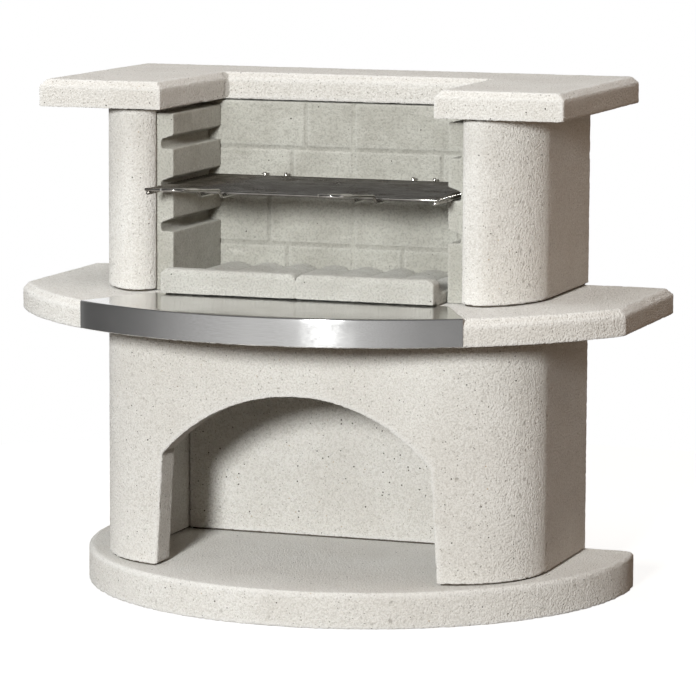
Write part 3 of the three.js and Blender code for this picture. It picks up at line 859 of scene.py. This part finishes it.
def wire_stations(path, radius):
    """Where the rings stand: each a place, the way along the wire and the ring's radius."""
    directions = directions_of(path)
    start, end = directions[0], directions[-1]
    first = [(path[0] + start * radius * way, start, radius * size) for way, size in BLUNT_END_SHARES]
    middle = [(place, along, radius) for place, along in zip(path[1:-1], directions[1:-1])]
    last = [(path[-1] - end * radius * way, end, radius * size) for way, size in BLUNT_END_SHARES]
    return first + middle + last[::-1]


def add_wire(made, path, radius):
    """Adds a round wire along the path's points to a bmesh."""
    stations = wire_stations(path, radius)
    side = stations[0][1].orthogonal().normalized()
    last = None
    for place, along, size in stations:
        side = (side - along * side.dot(along)).normalized()
        other = along.cross(side)
        ring = []
        for index in range(WIRE_SIDES):
            turn = 2 * math.pi * index / WIRE_SIDES
            ring.append(made.verts.new(place + (side * math.cos(turn) + other * math.sin(turn)) * size))
        if last is None:
            made.faces.new(reversed(ring))
        else:
            for index in range(WIRE_SIDES):
                following = (index + 1) % WIRE_SIDES
                made.faces.new((last[index], last[following], ring[following], ring[index]))
        last = ring
    made.faces.new(last)


def wire_piece(name, node, made):
    """A piece of the grid that replaces a node."""
    mesh = bpy.data.meshes.new(name)
    bmesh.ops.recalc_face_normals(made, faces=made.faces)
    made.to_mesh(mesh)
    made.free()
    mesh.shade_smooth()
    mesh.materials.append(chrome)
    piece = object_of(name, mesh)
    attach(piece, "grid")
    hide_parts(node)
    print(name, len(mesh.polygons), "faces")


# %% [markdown]
# The cooking grid
#
# Twenty-one rods lie across two thicker carriers, which rest in the middle grooves. The first and the
# last rod are thicker. Each crossing is resistance welded, and the weld squeezes out a small bead.
# The rods are never quite straight, so their middles bow by a few tenths of a millimetre.

# %% Grid of rods
ROD, EDGE_ROD, CARRIER = 5 * MM, 6 * MM, 7 * MM
ROD_COUNT = 21
ROD_STEPS = 8
ROD_OVERHANG = 6 * MM
ROD_BOW = 0.3 * MM
BOW_NOISE_STEP = 1.7  # along the noise from rod to rod
WELD_DEPTH = 0.6 * MM
BEAD_HALVES = (3.6 * MM, 3.2 * MM, 1.6 * MM)  # half a bead's width, depth and height

grid_low, grid_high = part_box("cooking_grid")
rod_foot = grid_high.z - EDGE_ROD
carrier_x = grid_high.x - ROD_OVERHANG
carrier_height = rod_foot + WELD_DEPTH - CARRIER / 2


def bowed_rod(index, y, height):
    """The points along a rod's middle line."""
    bow = ROD_BOW * noise.noise(Vector((0, index * BOW_NOISE_STEP, 0)))
    shares = [2 * step / ROD_STEPS - 1 for step in range(ROD_STEPS + 1)]
    return [Vector((share * grid_high.x, y + bow * (1 - share ** 2), height)) for share in shares]


def wire_grid():
    made = bmesh.new()
    bead = Matrix.Diagonal((*BEAD_HALVES, 1.0))
    for x in (-carrier_x, carrier_x):
        ends = [Vector((x, grid_low.y, carrier_height)), Vector((x, grid_high.y, carrier_height))]
        add_wire(made, ends, CARRIER / 2)
    first = grid_low.y + EDGE_ROD / 2
    pitch = (grid_high.y - grid_low.y - EDGE_ROD) / (ROD_COUNT - 1)
    for index in range(ROD_COUNT):
        thickness = EDGE_ROD if index in (0, ROD_COUNT - 1) else ROD
        y = first + index * pitch
        add_wire(made, bowed_rod(index, y, rod_foot + thickness / 2), thickness / 2)
        for x in (-carrier_x, carrier_x):
            place = Matrix.Translation((x, y, rod_foot + WELD_DEPTH / 2))
            bmesh.ops.create_icosphere(made, subdivisions=2, radius=1, matrix=place @ bead)
    return made


wire_piece("welded_wire_grid", "cooking_grid", wire_grid())

# %% [markdown]
# The handles
#
# Each handle is one wire, bent like a hairpin. Its two legs run under all the rods, hook up behind the
# last one, rise in front of the first, and meet in the grip. The corners are listed from the hook to the
# grip, and each is rounded with its own radius by a short Bezier curve.

# %% Rounded corners
BEND_STEPS = 8


def rounded(corners, radii):
    """The corners with each inner one rounded to its radius."""
    path = [corners[0]]
    for index in range(1, len(corners) - 1):
        corner = corners[index]
        back = (corners[index - 1] - corner).normalized()
        ahead = (corners[index + 1] - corner).normalized()
        reach = radii[index] / math.tan(back.angle(ahead) / 2)
        for step in range(BEND_STEPS + 1):
            share = step / BEND_STEPS
            start = (corner + back * reach).lerp(corner, share)
            path.append(start.lerp(corner.lerp(corner + ahead * reach, share), share))
    path.append(corners[-1])
    return path


# %% Bent handles
HANDLE_WIRE = 6 * MM
TAIL_RISE = 5.5 * MM
KNEE_REACH, SHOULDER_REACH = 8 * MM, 22 * MM
SHOULDER_RISE = 12 * MM
BEND_RADIUS, GRIP_RADIUS = 9 * MM, 20 * MM


def bent_handle(node):
    low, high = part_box(node)
    half = HANDLE_WIRE / 2
    leg_height, grip_height = low.z + half, high.z - half
    tail_y = high.y - half
    tail_height = rod_foot + EDGE_ROD + TAIL_RISE
    stations = [
        (tail_y, tail_height, 0),
        (tail_y, leg_height, EDGE_ROD / 2 + TOUCH + half),
        (grid_low.y - KNEE_REACH, leg_height, BEND_RADIUS),
        (grid_low.y - SHOULDER_REACH, leg_height + SHOULDER_RISE, BEND_RADIUS),
        (low.y + half, grip_height, GRIP_RADIUS),
    ]
    one = [Vector((low.x + half, y, z)) for y, z, _ in stations]
    other = [Vector((high.x - half, y, z)) for y, z, _ in reversed(stations)]
    radii = [radius for _, _, radius in stations]
    made = bmesh.new()
    add_wire(made, rounded(one + other, radii + radii[::-1]), half)
    return made


for side in ("left", "right"):
    node = f"{side}_grid_handle"
    wire_piece(f"bent_{side}_handle", node, bent_handle(node))

# %% [markdown]
# Floor and background
#
# The picture wants a white ground with only the object's soft shadow on it. White paint alone would need
# so much light that the concrete would burn out. So the floor is a pale, plain paint, and a little glow
# is added where the camera, a reflection or a refraction looks at it. Where light reaches the floor it
# becomes white, and where the object shades it, it stays grey.
#
# The light that a pale floor throws back would fill the shade under the worktop, which is dark and brown
# in the picture. So the paint is pale to the camera alone, and a dark brown to every other ray.

# %% Floor
FLOOR_RADIUS = 1.9
FLOOR_SEGMENTS = 96
FLOOR_GLOW = 0.86


def floor_paint():
    material, tree, shader = new_material("pale_floor")
    rays = add_node(tree, "ShaderNodeLightPath").outputs
    paint = laid_over(tree, "4C4034", "A5A29C", rays["Is Camera Ray"])
    tree.links.new(paint, shader.inputs["Base Color"])
    shader.inputs["Roughness"].default_value = 0.9
    seen = rays["Is Camera Ray"]
    for kind in ("Is Glossy Ray", "Is Transmission Ray"):
        seen = add_node(
            tree, "ShaderNodeMath", {"operation": "MAXIMUM"}, {0: seen, 1: rays[kind]}
        ).outputs["Value"]
    glow = add_node(tree, "ShaderNodeMath", {"operation": "MULTIPLY", 1: FLOOR_GLOW}, {0: seen})
    shader.inputs["Emission Color"].default_value = linear("FFFFFF")
    tree.links.new(glow.outputs["Value"], shader.inputs["Emission Strength"])
    return material


def studio_floor():
    made = bmesh.new()
    bmesh.ops.create_circle(made, cap_ends=True, segments=FLOOR_SEGMENTS, radius=FLOOR_RADIUS)
    mesh = bpy.data.meshes.new("floor")
    made.to_mesh(mesh)
    made.free()
    mesh.materials.append(floor_paint())
    floor = object_of("floor", mesh)


studio_floor()
print("floor radius", FLOOR_RADIUS, "m")

# %% [markdown]
# Light
#
# The shadow under the worktop's bow ends 4 to 8 cm down, the jambs of the arch throw theirs straight
# back, and the shade on the round corners starts only at the side. Together they put the main lamp
# almost straight ahead, eight metres away and well above the object. A wide lamp high in front lights the
# tops. The fold of the steel and the wires would mirror it as a second bright line, so it is left out of
# reflections.

# %% Lamps
KEY_PLACE = Vector((0.65, -8.1, 2.35))
KEY_TARGET = Vector((0.0, -0.13, 0.5))
KEY_SIZE = 1.1
KEY_LEVEL = 0.88  # what a white face turned to the lamp returns
TOP_PLACE = Vector((-0.8, -1.8, 5.6))
TOP_TARGET = Vector((0.0, 0.0, 0.7))
TOP_SIZE = 3.0
TOP_LEVEL = 0.34


def add_lamp(name, place, target, size, level, colour):
    """A round soft lamp that gives a white face at the target the brightness level."""
    data = bpy.data.lights.new(name, "AREA")
    data.shape = "DISK"
    data.size = size
    data.color = linear(colour)[:3]
    data.energy = level * (math.pi * (target - place).length) ** 2
    lamp = object_of(name, data)
    lamp.location = place
    lamp.rotation_euler = (target - place).to_track_quat("-Z", "Y").to_euler()
    lamp.visible_camera = False
    return lamp


add_lamp("soft_key", KEY_PLACE, KEY_TARGET, KEY_SIZE, KEY_LEVEL, "FCFEFF")
top_lamp = add_lamp("soft_top", TOP_PLACE, TOP_TARGET, TOP_SIZE, TOP_LEVEL, "F8FBFF")
top_lamp.visible_glossy = False
print("key lamp", round((KEY_TARGET - KEY_PLACE).length, 2), "m away")

# %% [markdown]
# The room around
#
# The room adds a weak fill that is warmer and a little lighter on the right, darker in front and
# brightest behind the object. The steel mirrors the room in front of it. So in reflections that side of
# the world is brightest straight ahead and darker at the sides and overhead, and the side behind the
# object is white. To the camera the world is plain white.

# %% World
ROOM_BANDS = [
    (-0.98, 0.115), (-0.86, 0.2), (-0.62, 0.46), (-0.34, 0.64),
    (0.0, 0.66), (0.35, 0.52), (0.6, 0.33), (0.9, 0.24),
]  # direction towards the right, and how bright the room is there
OVERHEAD_SHARE = 0.25  # of the room's brightness, that is left overhead


def room_bands(tree, towards_right):
    """The room from the left to the right."""
    spread = add_node(tree, "ShaderNodeMapRange", {"From Min": -1.0}, {"Value": towards_right})
    curve = add_node(tree, "ShaderNodeValToRGB", None, {"Fac": spread.outputs["Result"]})
    stops = curve.color_ramp.elements
    while len(stops) < len(ROOM_BANDS):
        stops.new(0.5)
    for stop, (place, level) in zip(stops, ROOM_BANDS):
        stop.position = (place + 1) / 2
        stop.color = (level, level, level, 1)
    return curve.outputs["Color"]


def room_in_front(tree, parts):
    """The room that the steel mirrors, white behind and dark overhead."""
    back = add_node(
        tree, "ShaderNodeMapRange", {"From Min": -0.1, "From Max": 0.3}, {"Value": parts["Y"]}
    ).outputs["Result"]
    walls = add_node(
        tree, "ShaderNodeMath", {"operation": "MAXIMUM"}, {0: back, 1: room_bands(tree, parts["X"])}
    ).outputs["Value"]
    overhead = add_node(
        tree, "ShaderNodeMapRange",
        {"From Min": 0.25, "From Max": 0.55, "To Min": 1.0, "To Max": OVERHEAD_SHARE},
        {"Value": parts["Z"]},
    ).outputs["Result"]
    return add_node(
        tree, "ShaderNodeMath", {"operation": "MULTIPLY"}, {0: walls, 1: overhead}
    ).outputs["Value"]


def studio_world():
    world = bpy.data.worlds.new("studio")
    bpy.context.scene.world = world
    world.use_nodes = True
    tree = world.node_tree
    background = tree.nodes["Background"]
    towards = add_node(tree, "ShaderNodeTexCoord").outputs["Generated"]
    parts = add_node(tree, "ShaderNodeSeparateXYZ", None, {"Vector": towards}).outputs
    fill = laid_over(tree, "70706F", "9A8370", parts["X"], -0.5, 0.7)
    fill = laid_over(tree, fill, "46392D", parts["Y"], -0.2, -0.9)
    fill = laid_over(tree, fill, "B4B0AA", parts["Y"], 0.35, 0.85)
    mirrored = laid_over(tree, "000000", "FFFFFF", room_in_front(tree, parts))
    rays = add_node(tree, "ShaderNodeLightPath").outputs
    colour = laid_over(tree, fill, mirrored, rays["Is Glossy Ray"])
    seen = add_node(
        tree, "ShaderNodeMath", {"operation": "MAXIMUM"},
        {0: rays["Is Camera Ray"], 1: rays["Is Transmission Ray"]},
    ).outputs["Value"]
    colour = laid_over(tree, colour, "FFFFFF", seen)
    tree.links.new(colour, background.inputs["Color"])
    background.inputs["Strength"].default_value = 1.0


studio_world()
print("world with", len(ROOM_BANDS), "bands")

# %% [markdown]
# Camera
#
# The place of the camera was found by fitting the model's corners to the photograph: it stands over
# seven metres away with a long lens, to the right of the middle, and looks a little down.

# %% Camera
CAMERA_PLACE = Vector((2.413, -6.787, 1.432))
CAMERA_YAW, CAMERA_PITCH, CAMERA_ROLL = 19.16, 7.678, -0.28
FOCAL_PIXELS, PICTURE_PIXELS = 4026.1, 696
SENSOR = 36.0  # millimetres
FARTHEST = 100.0  # metres, up to which the camera sees


def photo_camera():
    data = bpy.data.cameras.new("photo_camera")
    data.sensor_width = SENSOR
    data.lens = SENSOR * FOCAL_PIXELS / PICTURE_PIXELS
    data.clip_end = FARTHEST
    camera = object_of("photo_camera", data)
    level = Matrix.Rotation(math.radians(90 - CAMERA_PITCH), 4, "X")
    turned = Matrix.Rotation(math.radians(CAMERA_YAW), 4, "Z") @ level
    rolled = turned @ Matrix.Rotation(math.radians(-CAMERA_ROLL), 4, "Z")
    camera.matrix_world = Matrix.Translation(CAMERA_PLACE) @ rolled
    bpy.context.scene.camera = camera


photo_camera()
bpy.context.scene.view_settings.view_transform = "Standard"
print("lens", round(SENSOR * FOCAL_PIXELS / PICTURE_PIXELS), "mm")
